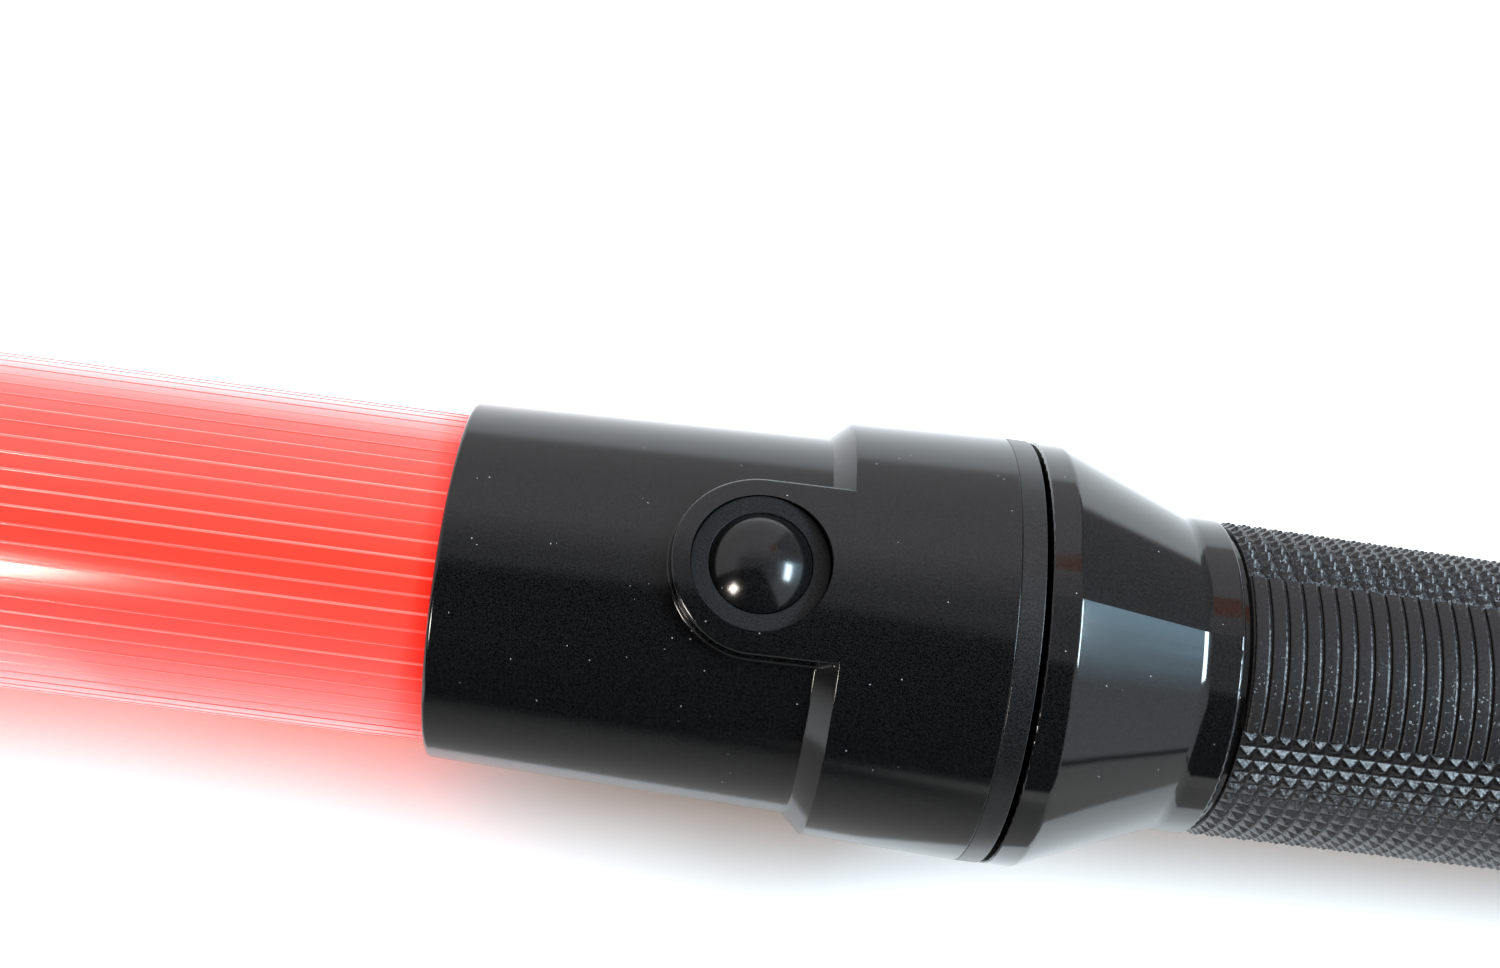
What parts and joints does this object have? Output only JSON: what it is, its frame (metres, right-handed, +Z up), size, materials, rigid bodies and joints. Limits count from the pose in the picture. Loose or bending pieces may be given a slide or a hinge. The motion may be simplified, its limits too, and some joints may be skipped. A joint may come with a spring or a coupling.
{
  "type": "traffic baton light",
  "caption": "Hand-held traffic baton: a lit red tube on a screw-off black head with a push button, and a textured handle that holds the cells.",
  "frame": {"origin": "under the middle of the baton, on the level surface that its widest rim touches", "axes": "+X along the baton's axis towards the tail of the handle, +Z up through the button, +Y to the left when looking towards +X"},
  "size_m": [0.54, 0.052, 0.052],
  "materials": {
    "tube_red": "translucent red polycarbonate with fine lines along it",
    "cap_red": "translucent moulded end cap",
    "reflector_silver": "metallised film",
    "gasket_black": "soft seal rubber",
    "head_black": "satin gloss moulded",
    "bezel_black": "fine matte moulded",
    "button_black": "gloss moulded dome",
    "spring_steel": "drawn wire",
    "switch_grey": "moulded switch case",
    "plunger_white": "moulded acetal",
    "contact_brass": "stamped strip",
    "board_green": "solder-masked board",
    "chip_black": "moulded package",
    "led_clear": "clear epoxy",
    "cup_white": "moulded reflector",
    "carrier_black": "moulded",
    "screw_steel": "zinc-plated",
    "wire_red": "insulation",
    "wire_black": "insulation",
    "ring_black": "dull turned look",
    "flare_black": "high gloss moulded",
    "grip_black": "textured with small pyramids and ribs",
    "cell_steel": null,
    "plug_black": "fine matte moulded",
    "bail_chrome": "plated wire"
  },
  "bodies": {
    "handle": {"handle_shell": "flare_black", "handle_grip": "grip_black", "battery_front": "cell_steel", "battery_rear": "cell_steel", "negative_strip": "contact_brass", "spring_plate": "spring_steel", "tail_spring": "spring_steel", "tail_plug": "plug_black", "tail_gasket": "gasket_black"},
    "seal": {"seal_ring": "gasket_black"},
    "head": {"light_tube": "tube_red", "tip_cap": "cap_red", "tip_reflector": "reflector_silver", "tube_gasket": "gasket_black", "head_housing": "head_black", "button_bezel": "bezel_black", "button_spring": "spring_steel", "switch_body": "switch_grey", "switch_terminals": "contact_brass", "switch_board": "board_green", "board_screws": "screw_steel", "flasher_chip": "chip_black", "resistors": "chip_black", "led_board": "board_green", "led_board_screws": "screw_steel", "leds": "led_clear", "led_reflector": "cup_white", "contact_carrier": "carrier_black", "carrier_screws": "screw_steel", "positive_contact": "contact_brass", "ring_contact": "contact_brass", "led_wire_plus": "wire_red", "led_wire_minus": "wire_black", "feed_wire_plus": "wire_red", "feed_wire_minus": "wire_black", "threaded_ring": "ring_black"},
    "button": {"button_cap": "button_black", "switch_plunger": "plunger_white"},
    "lanyard_ring": {"lanyard_ring": "bail_chrome"}
  },
  "joints": [
    {"name": "head_advance", "type": "slide", "parent": "handle", "child": "seal", "axis": [-1, 0, 0], "range_m": [0, 0.009]},
    {"name": "head_turn", "type": "hinge", "parent": "seal", "child": "head", "pos_m": [0.1212, 0, 0.026], "axis": [-1, 0, 0], "range_deg": [0, 1080]},
    {"name": "button_press", "type": "slide", "parent": "head", "child": "button", "axis": [0, 0, -1], "range_m": [0, 0.0015], "stiffness_N_per_m": 350, "springref_m": -0.001, "deforming": ["button_spring"]},
    {"name": "ring_swing", "type": "hinge", "parent": "handle", "child": "lanyard_ring", "pos_m": [0.267, 0, 0.0355], "axis": [0, -1, 0], "range_deg": [0, 95]}
  ],
  "couplings": [
    {"joint": "head_advance", "follows": "head_turn", "m_per_rad": 0.00047746}
  ]
}
